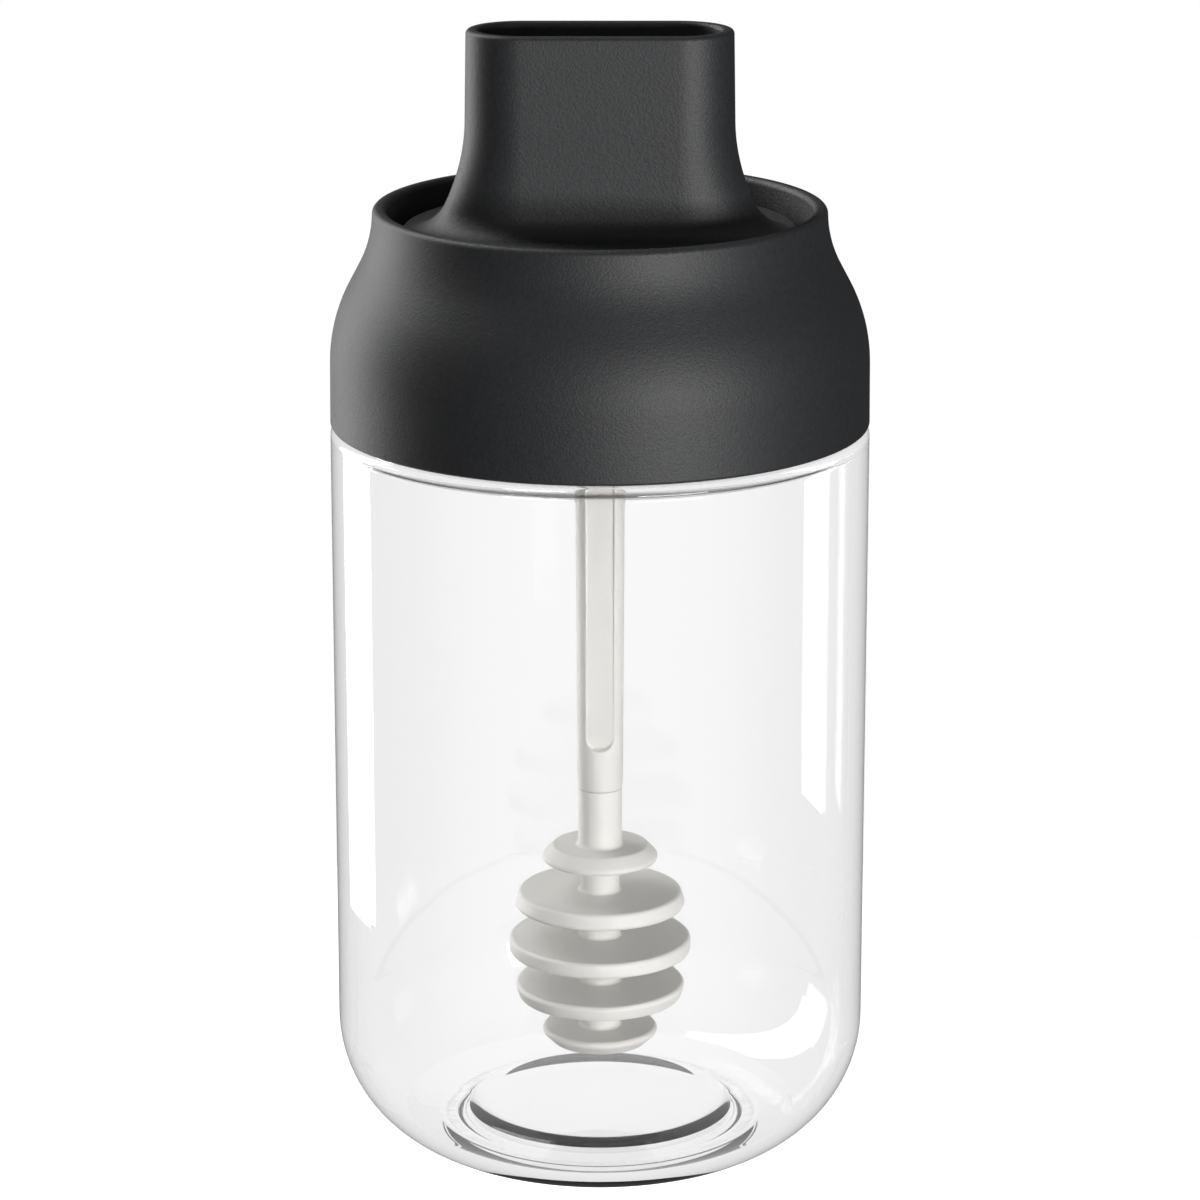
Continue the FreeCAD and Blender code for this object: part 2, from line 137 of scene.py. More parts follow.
PLUG_RADIUS = 22.6
PLUG_BOTTOM = 113.0
PLUG_WALL = 2.2
PLUG_FLOOR = 2.0
PLUG_FOOT_ROUND = 1.2
PLUG_FLOOR_ROUND = 1.0
PLUG_EDGE_ROUND = 0.2
SOCKET_OUTER = 5.4
SOCKET_TOP = 122.0
SEAL_BOTTOM = 116.2
SEAL_HEIGHT = 4.4
SEAL_LIPS = 2
SEAL_LIP_ROUND = 0.3
SEAL_VALLEY = 0.2
SEAL_ROOT_DEPTH = 0.1
SEAL_SEAT = 1.0
SEAL_GAP = 0.12

STEM_TOP_RADIUS = 3.4
STEM_LOW_RADIUS = 3.15
STEM_COLLAR = 5.0
STEM_COLLAR_HEIGHT = 1.5
STEM_FOOT = 50.0
STEM_TAPER = 1.6
STEM_FOOT_ROUND = 0.1
STEM_ROUND = 0.6
STEM_COLLAR_LOW_ROUND = 0.4
STEM_COLLAR_TOP_ROUND = 0.3
STEM_END_GAP = 0.5
PANEL_HALF_WIDTH = 1.85
PANEL_ROUNDNESS = 0.9
PANEL_FLOOR = 2.45
PANEL_SLOPE = 0.22
PANEL_END = 56.0
PANEL_TOP = 109.0
HEAD_NECK_RADIUS = 3.0
SHAFT_RADIUS = 2.7
DISC_COUNT = 5
DISC_THICKNESS = 2.2
DISC_SPACING = 6.55
HEAD_MIDDLE = 27.6
HEAD_RADIUS = 12.5
HEAD_HALF_HEIGHT = 16.6
DISC_ROUND = 0.55
SHAFT_ROUND = 0.5
NECK_ROUND = 0.05
PEG_RADIUS = 1.75
PEG_LENGTH = 10.0
FIT = 0.05

# ---------------------------------------------------------------- how finely the meshes are cut
# Steps and margins are in millimetres, and ARC to STEM_SHARP_ANGLE in degrees.

ON_AXIS = 0.000001
ON_NECK = 0.01
AROUND = 192
HEAD_AROUND = 128
ARC = 7.0
FINE_ARC = 3.0
SHARP_ANGLE = 40.0
STEM_SHARP_ANGLE = 60.0
THREAD_STEP = 0.4
THREAD_MARGIN = 1.0
PANEL_STEP = 0.2
PANEL_MARGIN = 1.0
STEM_FRONT = 2.4
STEM_FRONT_POINTS = 61
STEM_BACK_POINTS = 49
OVAL_END_STEPS = 40
OVAL_FLAT_STEPS = 12
FLANGE_TOP_SHARES = (0.1, 0.4, 0.7, 0.9)
FOOT_STEPS = 12
FLARE_STEPS = 16
GRIP_SHARES = (0.33, 0.66)
EDGE_STEPS = 6

# ---------------------------------------------------------------- colours and finishes

BLACK_DARK = (0.016, 0.017, 0.019)
BLACK_LIGHT = (0.04, 0.042, 0.046)
BLACK_SPECKLE = 1500.0
BLACK_ROUGH = (0.5, 0.62)
BLACK_IOR = 1.75
GRAIN_FINENESS = 3000.0
GRAIN_DEPTH = 0.00012
GRAIN_STRENGTH = 0.5
INNER_DARK = (0.035, 0.036, 0.038)
INNER_LIGHT = (0.05, 0.051, 0.053)
INNER_FLOW = 180.0
INNER_ROUGH = (0.38, 0.48)
PALE_DARK = (0.66, 0.645, 0.615)
PALE_LIGHT = (0.72, 0.705, 0.675)
PALE_FLOW = 120.0
PALE_ROUGH = (0.42, 0.55)
PALE_GRAIN = 3200.0
PALE_GRAIN_DEPTH = 0.00004
PALE_GRAIN_STRENGTH = 0.4
PLASTIC_IOR = 1.49
SILICONE_DARK = (0.70, 0.70, 0.68)
SILICONE_LIGHT = (0.80, 0.80, 0.78)
SILICONE_FLOW = 260.0
SILICONE_ROUGH = (0.45, 0.6)
SILICONE_IOR = 1.41
GLASS_IOR = 1.5
GLASS_WAVE = 60.0
GLASS_WAVE_DEPTH = 0.0002
GLASS_WAVE_STRENGTH = 0.15

# Painted shade: the glass's grey levels by how steeply it is seen: 0 is straight on and 1 is edge-on.
GLASS_SHADE_BANDS = ((0.05, 0.99), (0.16, 0.97), (0.3, 0.935), (0.45, 0.935), (0.62, 0.99))

# A ray that the glass keeps mirroring inside itself would end black. Past so many turns the glass
# instead glows with painted light of strength TRAPPED, for the light that the ray would carry out.
# How many turns depends on the place in the glass: near the axis, in the heel below HEEL_GLOW_TOP,
# or in the wall above WALL_GLOW_FOOT.
# Within TRAPPED_FROM of the axis it does end black, as the crescents under the base are dark.
TRAPPED = 0.95
TRAPPED_FROM = 17.2
AXIS_FADE = 1.0
AXIS_TURNS = 1.5
HEEL_TURNS = 0.5
WALL_TURNS = 2.5
HEEL_GLOW_TOP = 8.0
WALL_GLOW_FOOT = 10.0
# Past so many glass faces a trapped ray ends dark, and the white background is no longer seen.
GLASS_FACES = 4.5
WHITE_FACES = 6.5

# ---------------------------------------------------------------- light, in metres and watts

ROOM_LOW = 0.05
ROOM_HIGH = 0.1
ROOM_FROM = 0.0
FLOOR_RADIUS = 0.12
FLOOR_CORNERS = 96
FLOOR_ROUGH = 0.9
# The floor's own light where it is seen directly and through glass, and its colour where it is
# seen and where it only throws light back on the object.
FLOOR_WHITE = 0.75
FLOOR_THROUGH = 0.95
FLOOR_SEEN = (0.8, 0.8, 0.8)
FLOOR_BOUNCE = (0.1, 0.1, 0.1)
KEY_AT = (0.42, -0.74, 0.11)
KEY_AIM = (0, 0, 0.09)
KEY_WIDTH = 0.45
KEY_HEIGHT = 0.2
KEY_WATTS = 4.2
RIM_LAMP_AT = (-0.447, 0.345, 0.245)
RIM_LAMP_AIM = (0, 0, 0.11)
RIM_LAMP_WIDTH = 0.25
RIM_LAMP_HEIGHT = 1.4
RIM_LAMP_WATTS = 5.3
TOP_AT = (0.0, 0.1, 0.9)
TOP_AIM = (0, 0, 0.1)
TOP_SIZE = 0.6
TOP_WATTS = 0.08

# ---------------------------------------------------------------- camera

CAMERA_AT = (0.0, -0.6301, 0.2539)
CAMERA_DOWN = 15.75
CAMERA_LENS = 145.4
SENSOR_WIDTH = 36.0

# ---------------------------------------------------------------- mesh helpers


def rounded(corners, arc_angle=ARC):
    """Points of a closed outline: straight sides, and arcs where a corner has a third number."""
    points = []
    count = len(corners)
    for i, corner in enumerate(corners):
        here = Vector(corner[:2])
        if len(corner) == 2:
            points.append(here)
            continue
        radius = corner[2]
        back = (Vector(corners[i - 1][:2]) - here).normalized()
        ahead = (Vector(corners[(i + 1) % count][:2]) - here).normalized()
        half = back.angle(ahead) / 2
        centre = here + (back + ahead).normalized() * (radius / math.sin(half))
        first = here + back * (radius / math.tan(half)) - centre
        turn = math.pi - 2 * half
        if back.x * ahead.y - back.y * ahead.x > 0:
            turn = -turn
        steps = max(3, math.ceil(abs(math.degrees(turn)) / arc_angle))
        for k in range(steps + 1):
            angle = turn * k / steps
            cos, sin = math.cos(angle), math.sin(angle)
            points.append(centre + Vector((first.x * cos - first.y * sin, first.x * sin + first.y * cos)))
    return points


def refined(points, low, high, step):
    """The same outline with extra points on its upright stretches between two heights."""
    result = []
    for i, here in enumerate(points):
        result.append(here)
        after = points[(i + 1) % len(points)]
        inside = low < (here.y + after.y) / 2 < high
        pieces = math.ceil(abs(after.y - here.y) / step) if inside else 1
        result += [here.lerp(after, k / pieces) for k in range(1, pieces)]
    return result


def mesh_piece(name, vertices, faces, sharp=SHARP_ANGLE):
    """A smooth-shaded object from vertices in millimetres, with its normals outwards."""
    mesh = bpy.data.meshes.new(name)
    mesh.from_pydata([tuple(Vector(v) * MM) for v in vertices], [], faces)
    mesh.validate()
    work = bmesh.new()
    work.from_mesh(mesh)
    bmesh.ops.recalc_face_normals(work, faces=work.faces)
    work.to_mesh(mesh)
    work.free()
    mesh.shade_smooth()
    mesh.set_sharp_from_angle(angle=math.radians(sharp))
    piece = bpy.data.objects.new(name, mesh)
    bpy.context.scene.collection.objects.link(piece)
    return piece


def join_rings(rings, closed=False):
    """Faces between rings of vertex numbers; a ring of one vertex is a pole."""
    faces = []
    pairs = zip(rings, rings[1:] + rings[:1]) if closed else zip(rings, rings[1:])
    for low, high in pairs:
        count = max(len(low), len(high))
        if count == 1:
            continue
        for k in range(count):
            after = (k + 1) % count
            below = [low[k % len(low)], low[after % len(low)]]
            above = [high[after % len(high)], high[k % len(high)]]
            faces.append(list(dict.fromkeys(below + above)))
    return faces


def lathe(name, points, around=AROUND, swell=None):
    """Turn an outline about the Z axis. swell(angle, radius, height) adds to the radius."""
    on_axis = [p.x < ON_AXIS for p in points]
    vertices, rings = [], []
    for point, pole in zip(points, on_axis):
        ring = []
        for k in range(1 if pole else around):
            angle = 2 * math.pi * k / around
            radius = 0.0 if pole else point.x
            if swell is not None and not pole:
                radius += swell(angle, point.x, point.y)
            ring.append(len(vertices))
            vertices.append((radius * math.sin(angle), -radius * math.cos(angle), point.y))
        rings.append(ring)
    return mesh_piece(name, vertices, join_rings(rings, closed=not any(on_axis)))


# ---------------------------------------------------------------- materials


class NodeTree:
    """A node tree, with short calls for the nodes that the materials and the world share."""

    def __init__(self, tree):
        self.tree = tree

    def new(self, kind, **settings):
        node = self.tree.nodes.new(kind)
        for key, value in settings.items():
            setattr(node, key, value)
        return node

    def link(self, source, target):
        self.tree.links.new(source, target)

    def where(self):
        """The point's place in the object, in metres."""
        return self.new("ShaderNodeTexCoord").outputs["Object"]

    def noise(self, scale, detail=2.0, roughness=0.5):
        noise = self.new("ShaderNodeTexNoise")
        noise.inputs["Scale"].default_value = scale
        noise.inputs["Detail"].default_value = detail
        noise.inputs["Roughness"].default_value = roughness
        self.link(self.where(), noise.inputs["Vector"])
        return noise.outputs["Fac"]

    def combine(self, operation, first, second):
        """A Math node; each operand is a socket or a number."""
        node = self.new("ShaderNodeMath", operation=operation)
        for operand, socket in zip((first, second), node.inputs):
            if isinstance(operand, float):
                socket.default_value = operand
            else:
                self.link(operand, socket)
        return node.outputs["Value"]

    def mixed(self, share, first, second):
        """The first shader, or the second where the share is 1."""
        node = self.new("ShaderNodeMixShader")
        self.link(share, node.inputs["Fac"])
        self.link(first, node.inputs[1])
        self.link(second, node.inputs[2])
        return node.outputs["Shader"]

    def spread(self, source, low, high):
        """Map a 0 to 1 value to low to high."""
        node = self.new("ShaderNodeMapRange")
        node.inputs["To Min"].default_value = low
        node.inputs["To Max"].default_value = high
        self.link(source, node.inputs["Value"])
        return node.outputs["Result"]

    def blend(self, source, first, second):
        """The first colour, or the second where the source is 1."""
        node = self.new("ShaderNodeMix", data_type="RGBA")
        node.inputs["A"].default_value = (*first, 1.0)
        node.inputs["B"].default_value = (*second, 1.0)
        self.link(source, node.inputs["Factor"])
        return node.outputs["Result"]

    def ramp(self, source, stops):
        """Grey levels at places of a 0 to 1 value, and straight between them."""
        node = self.new("ShaderNodeValToRGB")
        elements = node.color_ramp.elements
        for _ in stops[2:]:
            elements.new(0.5)
        for element, (position, level) in zip(elements, stops):
            element.position = position
            element.color = (level, level, level, 1.0)
        self.link(source, node.inputs["Fac"])
        return node.outputs["Color"]


class Nodes(NodeTree):
    """The node tree of a new material, with its shader and its output."""

    def __init__(self, name):
        self.material = bpy.data.materials.new(name)
        self.material.use_nodes = True
        super().__init__(self.material.node_tree)
        self.shader = self.tree.nodes["Principled BSDF"]
        self.output = self.tree.nodes["Material Output"]

    def set(self, **values):
        """Set the shader's own sockets, with _ for a space in a name."""
        for key, value in values.items():
            self.shader.inputs[key.replace("_", " ")].default_value = value

    def bump(self, source, distance, strength):
        """Relief from a 0 to 1 value, over a height in metres."""
        node = self.new("ShaderNodeBump")
        node.inputs["Distance"].default_value = distance
        node.inputs["Strength"].default_value = strength
        self.link(source, node.inputs["Height"])
        self.link(node.outputs["Normal"], self.shader.inputs["Normal"])


def black_plastic():
    """Charcoal polypropylene with a fine spark-eroded surface."""
    nodes = Nodes("black_plastic")
    grain = nodes.noise(GRAIN_FINENESS, detail=3.0, roughness=0.6)
    speckle = nodes.noise(BLACK_SPECKLE)
    nodes.link(nodes.blend(speckle, BLACK_DARK, BLACK_LIGHT), nodes.shader.inputs["Base Color"])
    nodes.link(nodes.spread(grain, *BLACK_ROUGH), nodes.shader.inputs["Roughness"])
    nodes.bump(grain, GRAIN_DEPTH, GRAIN_STRENGTH)
    nodes.set(IOR=BLACK_IOR)
    return nodes.material


def smooth_moulding(name, flow_scale, dark, light, rough, ior):
    """A finish whose colour and roughness drift a little, as melt flow leaves them."""
    nodes = Nodes(name)
    flow = nodes.noise(flow_scale)
    nodes.link(nodes.blend(flow, dark, light), nodes.shader.inputs["Base Color"])
    nodes.link(nodes.spread(flow, *rough), nodes.shader.inputs["Roughness"])
    nodes.set(IOR=ior)
    return nodes.material


def inner_plastic():
    """Plain black moulding of the hidden pieces."""
    return smooth_moulding("inner_plastic", INNER_FLOW, INNER_DARK, INNER_LIGHT, INNER_ROUGH, PLASTIC_IOR)


def silicone():
    """Translucent white seal rubber."""
    return smooth_moulding(
        "silicone", SILICONE_FLOW, SILICONE_DARK, SILICONE_LIGHT, SILICONE_ROUGH, SILICONE_IOR
    )


def pale_plastic():
    """Off-white satin moulding."""
    nodes = Nodes("pale_plastic")
    grain = nodes.noise(PALE_GRAIN)
    flow = nodes.noise(PALE_FLOW)
    nodes.link(nodes.blend(flow, PALE_DARK, PALE_LIGHT), nodes.shader.inputs["Base Color"])
    nodes.link(nodes.spread(grain, *PALE_ROUGH), nodes.shader.inputs["Roughness"])
    nodes.bump(grain, PALE_GRAIN_DEPTH, PALE_GRAIN_STRENGTH)
    nodes.set(IOR=PLASTIC_IOR)
    return nodes.material


def off_axis(nodes, radius, inside, outside):
    """One value for the points within a radius of the jar's axis, and another beyond it."""
    level = nodes.new("ShaderNodeVectorMath", operation="MULTIPLY")
    level.inputs[1].default_value = (1.0, 1.0, 0.0)
    length = nodes.new("ShaderNodeVectorMath", operation="LENGTH")
    edge = nodes.new("ShaderNodeMapRange")
    edge.inputs["From Min"].default_value = radius * MM
    edge.inputs["From Max"].default_value = (radius + AXIS_FADE) * MM
    edge.inputs["To Min"].default_value = inside
    edge.inputs["To Max"].default_value = outside
    nodes.link(nodes.where(), level.inputs[0])
    nodes.link(level.outputs["Vector"], length.inputs[0])
    nodes.link(length.outputs["Value"], edge.inputs["Value"])
    return edge.outputs["Result"]


def turns_before_exit(nodes):
    """How often a ray may be mirrored inside the glass at a point before it counts as trapped."""
    split = nodes.new("ShaderNodeSeparateXYZ")
    level = nodes.new("ShaderNodeMapRange")
    level.inputs["From Min"].default_value = HEEL_GLOW_TOP * MM
    level.inputs["From Max"].default_value = WALL_GLOW_FOOT * MM
    level.inputs["To Max"].default_value = WALL_TURNS
    nodes.link(off_axis(nodes, TRAPPED_FROM, AXIS_TURNS, HEEL_TURNS), level.inputs["To Min"])
    nodes.link(nodes.where(), split.inputs["Vector"])
    nodes.link(split.outputs["Z"], level.inputs["Value"])
    return level.outputs["Result"]


def clear_glass():
    """Polished soda-lime glass that lets lamp light through to what is inside."""
    nodes = Nodes("clear_glass")
    nodes.set(Transmission_Weight=1.0, Roughness=0.0, IOR=GLASS_IOR)
    # Painted shade: the glass's colour greys in bands by how steeply it is seen.
    slant = nodes.new("ShaderNodeLayerWeight")
    nodes.link(nodes.ramp(slant.outputs["Facing"], GLASS_SHADE_BANDS), nodes.shader.inputs["Base Color"])
    wave = nodes.noise(GLASS_WAVE, detail=1.0)
    nodes.bump(wave, GLASS_WAVE_DEPTH, GLASS_WAVE_STRENGTH)
    path = nodes.new("ShaderNodeLightPath").outputs
    clear = nodes.new("ShaderNodeBsdfTransparent")
    glass = nodes.mixed(path["Is Shadow Ray"], nodes.shader.outputs["BSDF"], clear.outputs["BSDF"])
    few_faces = nodes.combine("LESS_THAN", path["Transmission Depth"], GLASS_FACES)
    light_out = nodes.combine("MULTIPLY", off_axis(nodes, TRAPPED_FROM, 0.0, TRAPPED), few_faces)
    # Painted light: the glass glows where a trapped ray ends.
    trapped_glow = nodes.new("ShaderNodeEmission")
    nodes.link(light_out, trapped_glow.inputs["Strength"])
    trapped = nodes.combine("GREATER_THAN", path["Glossy Depth"], turns_before_exit(nodes))
    surface = nodes.mixed(trapped, glass, trapped_glow.outputs["Emission"])
    nodes.link(surface, nodes.output.inputs["Surface"])
    nodes.material.cycles.emission_sampling = "NONE"
    return nodes.material


BLACK = black_plastic()
INNER = inner_plastic()
PALE = pale_plastic()
SILICONE = silicone()
GLASS = clear_glass()


def dress(piece, material):
    """Give a piece one material in place of any that it has."""
    piece.data.materials.clear()
    piece.data.materials.append(material)


def place(piece, body, material, node):
    """Give a piece its finish and its body, and hide the CAD node that it stands for."""
    dress(piece, material)
    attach(piece, body)
    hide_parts(node)


# ---------------------------------------------------------------- jar


def thread_ridge(angle, height):
    """How far the jar's right-hand thread stands out at an angle and height, fading at both ends."""
    best = 0.0
    for turn in range(math.ceil(THREAD_TURNS) + 1):
        along = angle / (2 * math.pi) + turn
        if along > THREAD_TURNS:
            continue
        fade = min(1.0, along / THREAD_FADE, (THREAD_TURNS - along) / THREAD_FADE)
        off = abs(height - (THREAD_START + THREAD_PITCH * along)) / (THREAD_WIDTH / 2)
        best = max(best, THREAD_REACH * fade * min(1.0, max(0.0, (1.0 - off) * THREAD_FLANK)))
    return best


def glass_jar():
    """Jar with its wall, pushed-up base, crowned floor, neck and thread, in one turned outline."""
    inner = JAR_RADIUS - JAR_WALL
    crown_top = BASE_THICKNESS + BASE_CROWN
    points = rounded([
        (0, PUSH_UP),
        (PUSH_UP_RADIUS, PUSH_UP, PUSH_UP_ROUND),
        (FOOT_INNER, 0, FOOT_INNER_ROUND),
        (FOOT_OUTER, 0, FOOT_ROUND),
        (JAR_RADIUS, HEEL_CORNER, HEEL_RADIUS),
        (JAR_RADIUS, SHOULDER_TOP, SHOULDER_ROUND),
        (NECK_RADIUS, SHOULDER_TOP, SHOULDER_ROUND),
        (NECK_RADIUS, NECK_TOP, LIP_ROUND),
        (MOUTH_RADIUS, NECK_TOP, LIP_ROUND),
        (MOUTH_RADIUS, LEDGE, LEDGE_ROUND),
        (inner, LEDGE, INNER_SHOULDER_ROUND),
        (inner, INNER_HEEL_CORNER, INNER_HEEL_RADIUS),
        (FLOOR_EDGE, BASE_THICKNESS, FLOOR_EDGE_ROUND),
        (CROWN_EDGE, BASE_THICKNESS, CROWN_EDGE_ROUND),
        (CROWN_SHOULDER, crown_top, CROWN_ROUND),
        (0, crown_top),
    ], arc_angle=FINE_ARC)
    points = refined(points, SHOULDER_TOP + THREAD_MARGIN, NECK_TOP - THREAD_MARGIN, THREAD_STEP)

    def swell(angle, radius, height):
        if abs(radius - NECK_RADIUS) > ON_NECK:
            return 0.0
        return thread_ridge(angle, height)

    piece = lathe("jar_glass", points, swell=swell)
    place(piece, "jar", GLASS, "glass_jar")


# ---------------------------------------------------------------- collar


def collar():
    """Outer lid with its sunk seat and sleeve; the hidden cap and gasket keep their CAD shapes."""
    rim_inner = RIM_RADIUS - RIM_WALL
    sleeve_outer = BORE_RADIUS + SLEEVE_WALL
    underside = SEAT_HEIGHT - SEAT_THICKNESS
    inner = JAR_RADIUS - COLLAR_WALL
    points = rounded([
        (JAR_RADIUS, COLLAR_BOTTOM, COLLAR_EDGE_ROUND),
        (JAR_RADIUS - COLLAR_LEAN, COLLAR_BREAK, COLLAR_BELLY_ROUND),
        (RIM_RADIUS + RIM_LEAN, RIM_BREAK, RIM_THROAT_ROUND),
        (RIM_RADIUS, RIM_TOP, RIM_ROUND),
        (rim_inner, RIM_TOP, RIM_ROUND),
        (rim_inner, SEAT_HEIGHT, SEAT_ROUND),
        (BORE_RADIUS, SEAT_HEIGHT, SLEEVE_ROUND),
        (BORE_RADIUS, SLEEVE_BOTTOM, SLEEVE_ROUND),
        (sleeve_outer, SLEEVE_BOTTOM, SLEEVE_ROUND),
        (sleeve_outer, underside, SEAT_ROUND),
        (RIM_RADIUS - THROAT_WALL, underside, THROAT_ROUND),
        (inner, COLLAR_BREAK - BELLY_DROP, COLLAR_BELLY_ROUND - COLLAR_WALL),
        (inner, COLLAR_BOTTOM, COLLAR_EDGE_ROUND),
    ], arc_angle=FINE_ARC)
    piece = lathe("collar_cover", points)
    place(piece, "collar", BLACK, "collar_shell")
    dress(frame["nodes"]["collar_thread_ring"], INNER)
    dress(frame["nodes"]["jar_gasket"], SILICONE)


# ---------------------------------------------------------------- stopper


def oval(half_width, half_depth):
    """Flat front and back with half-ellipse ends, walked once round from the front left."""
    reach = half_width - HANDLE_FLAT
    points = []
    for sign in (-1, 1):
        for k in range(OVAL_FLAT_STEPS):
            along = 2 * k / OVAL_FLAT_STEPS - 1
            points.append((-sign * HANDLE_FLAT * along, sign * half_depth))
        for k in range(OVAL_END_STEPS):
            angle = math.pi * k / OVAL_END_STEPS
            across = HANDLE_FLAT + reach * math.sin(angle)
            points.append((-sign * across, sign * half_depth * math.cos(angle)))
    return points


def circle(radius):
    """A circle with a point for each point of an oval, in the same directions."""
    guide = oval(HANDLE_HALF_WIDTH + FLARE_SPREAD, HANDLE_HALF_DEPTH)
    return [tuple(Vector(p).normalized() * radius) for p in guide]


def handle_section(height, inset=0.0):
    """The handle's oval at a height: flared at the foot, drafted above, and moved in by an inset."""
    flare = max(0.0, (FLARE_TOP - height) / (FLARE_TOP - FLANGE_TOP))
    lean = max(0.0, (height - FLARE_TOP) / (HANDLE_TOP - FLARE_TOP))
    half_width = HANDLE_HALF_WIDTH + FLARE_SPREAD * flare ** 2 - HANDLE_DRAFT * lean
    half_depth = HANDLE_HALF_DEPTH - HANDLE_DRAFT * lean
    return oval(half_width - inset, half_depth - inset)


def flange_sections():
    """The turned part: the skirt inside the plug, the flange's underside, edge and top."""
    skirt_outer = PLUG_RADIUS - PLUG_WALL - FIT
    skirt_inner = skirt_outer - HANDLE_WALL
    skirt_bottom = FLANGE_BOTTOM - SKIRT_DROP
    outline = rounded([
        (FLANGE_CAP_RADIUS, FLANGE_BOTTOM),
        (skirt_inner, FLANGE_BOTTOM, SKIRT_ROOT_ROUND),
        (skirt_inner, skirt_bottom, SKIRT_ROUND),
        (skirt_outer, skirt_bottom, SKIRT_ROUND),
        (skirt_outer, FLANGE_BOTTOM, SKIRT_ROUND),
        (FLANGE_RADIUS, FLANGE_BOTTOM, FLANGE_UNDER_ROUND),
        (FLANGE_RADIUS, FLANGE_TOP, FLANGE_ROUND),
        (FLANGE_CAP_RADIUS, FLANGE_TOP),
    ])
    return [(circle(point.x), point.y) for point in outline[:-1]]


def foot_sections():
    """From the flange's flat top into the fillet at the foot of the handle."""
    outermost = handle_section(FLANGE_TOP, -FLARE_FOOT_ROUND)
    edge = circle(FLANGE_RADIUS - FLANGE_ROUND)
    sections = []
    for share in FLANGE_TOP_SHARES:
        between = [Vector(a).lerp(Vector(b), share) for a, b in zip(edge, outermost)]
        sections.append((between, FLANGE_TOP))
    for k in range(FOOT_STEPS + 1):
        angle = math.pi / 2 * k / FOOT_STEPS
        height = FLANGE_TOP + FLARE_FOOT_ROUND * (1 - math.cos(angle))
        out = FLARE_FOOT_ROUND * (1 - math.sin(angle))
        sections.append((handle_section(height, -out), height))
    return sections


def grip_sections():
    """Up the flare and the grip, over the rounded rim and down the pocket to its floor."""
    flare_low = FLANGE_TOP + FLARE_FOOT_ROUND
    rim_low = HANDLE_TOP - HANDLE_RIM_ROUND
    heights = [flare_low + (FLARE_TOP - flare_low) * k / FLARE_STEPS for k in range(1, FLARE_STEPS + 1)]
    heights += [FLARE_TOP + (rim_low - FLARE_TOP) * share for share in GRIP_SHARES]
    sections = [(handle_section(height), height) for height in heights]
    turns = [math.pi / 2 * k / EDGE_STEPS for k in range(EDGE_STEPS + 1)]
    for angle in turns:
        height = rim_low + HANDLE_RIM_ROUND * math.sin(angle)
        sections.append((handle_section(height, HANDLE_RIM_ROUND * (1 - math.cos(angle))), height))
    for angle in turns:
        height = rim_low + HANDLE_RIM_ROUND * math.cos(angle)
        inset = HANDLE_WALL - HANDLE_RIM_ROUND * (1 - math.sin(angle))
        sections.append((handle_section(height, inset), height))
    pocket = handle_section(HANDLE_TOP, HANDLE_WALL + 2 * HANDLE_DRAFT)
    sections.append((pocket, HANDLE_TOP - POCKET_DEPTH))
    return sections


def stopper_handle():
    """Flange and hollow grip in one skin, from the flange's underside to the floor of the pocket."""
    vertices, rings = [], []
    for points, height in flange_sections() + foot_sections() + grip_sections():
        rings.append(list(range(len(vertices), len(vertices) + len(points))))
        vertices.extend((x, y, height) for x, y in points)
    faces = join_rings(rings)
    faces.append(rings[0][::-1])
    faces.append(rings[-1])
    piece = mesh_piece("stopper_grip", vertices, faces)
    place(piece, "stopper", BLACK, "stopper_handle")


def stopper_plug():
    """Cup under the flange, with the seal's groove outside and the stem's socket in its middle."""
    bore = STEM_TOP_RADIUS + FIT
    inner = PLUG_RADIUS - PLUG_WALL
    floor = PLUG_BOTTOM + PLUG_FLOOR
    groove = PLUG_RADIUS - SEAL_SEAT
    groove_bottom = SEAL_BOTTOM - FIT
    groove_top = SEAL_BOTTOM + SEAL_HEIGHT + FIT
    points = rounded([
        (bore, PLUG_BOTTOM, PLUG_EDGE_ROUND),
        (PLUG_RADIUS, PLUG_BOTTOM, PLUG_FOOT_ROUND),
        (PLUG_RADIUS, groove_bottom, PLUG_EDGE_ROUND),
        (groove, groove_bottom),
        (groove, groove_top),
        (PLUG_RADIUS, groove_top, PLUG_EDGE_ROUND),
        (PLUG_RADIUS, SEAT_HEIGHT - FIT, PLUG_EDGE_ROUND),
        (inner, SEAT_HEIGHT - FIT),
        (inner, floor, PLUG_FLOOR_ROUND),
        (SOCKET_OUTER, floor, PLUG_FLOOR_ROUND),
        (SOCKET_OUTER, SOCKET_TOP, PLUG_EDGE_ROUND),
        (bore, SOCKET_TOP, PLUG_EDGE_ROUND),
    ])
    place(lathe("plug_body", points), "stopper", INNER, "stopper_plug")


def stopper_seal():
    """Ring with pointed lips that press on the collar's bore."""
    inner = PLUG_RADIUS - SEAL_SEAT + FIT
    root = PLUG_RADIUS - SEAL_ROOT_DEPTH
    reach = BORE_RADIUS - SEAL_GAP
    pitch = SEAL_HEIGHT / SEAL_LIPS
    corners = [(inner, SEAL_BOTTOM), (root, SEAL_BOTTOM)]
    for lip in range(SEAL_LIPS):
        low = SEAL_BOTTOM + pitch * lip
        corners += [
            (root, low + SEAL_VALLEY),
            (reach, low + pitch / 2, SEAL_LIP_ROUND),
            (root, low + pitch - SEAL_VALLEY),
        ]
    corners += [(root, SEAL_BOTTOM + SEAL_HEIGHT), (inner, SEAL_BOTTOM + SEAL_HEIGHT)]
    place(lathe("lip_seal", rounded(corners)), "seal", SILICONE, "stopper_seal")


# ---------------------------------------------------------------- dipper


def head_reach(height):
    """Radius of the dipper head's egg-shaped envelope at a height."""
    part = (height - HEAD_MIDDLE) / HEAD_HALF_HEIGHT
    return HEAD_RADIUS * math.sqrt(1 - part * part)


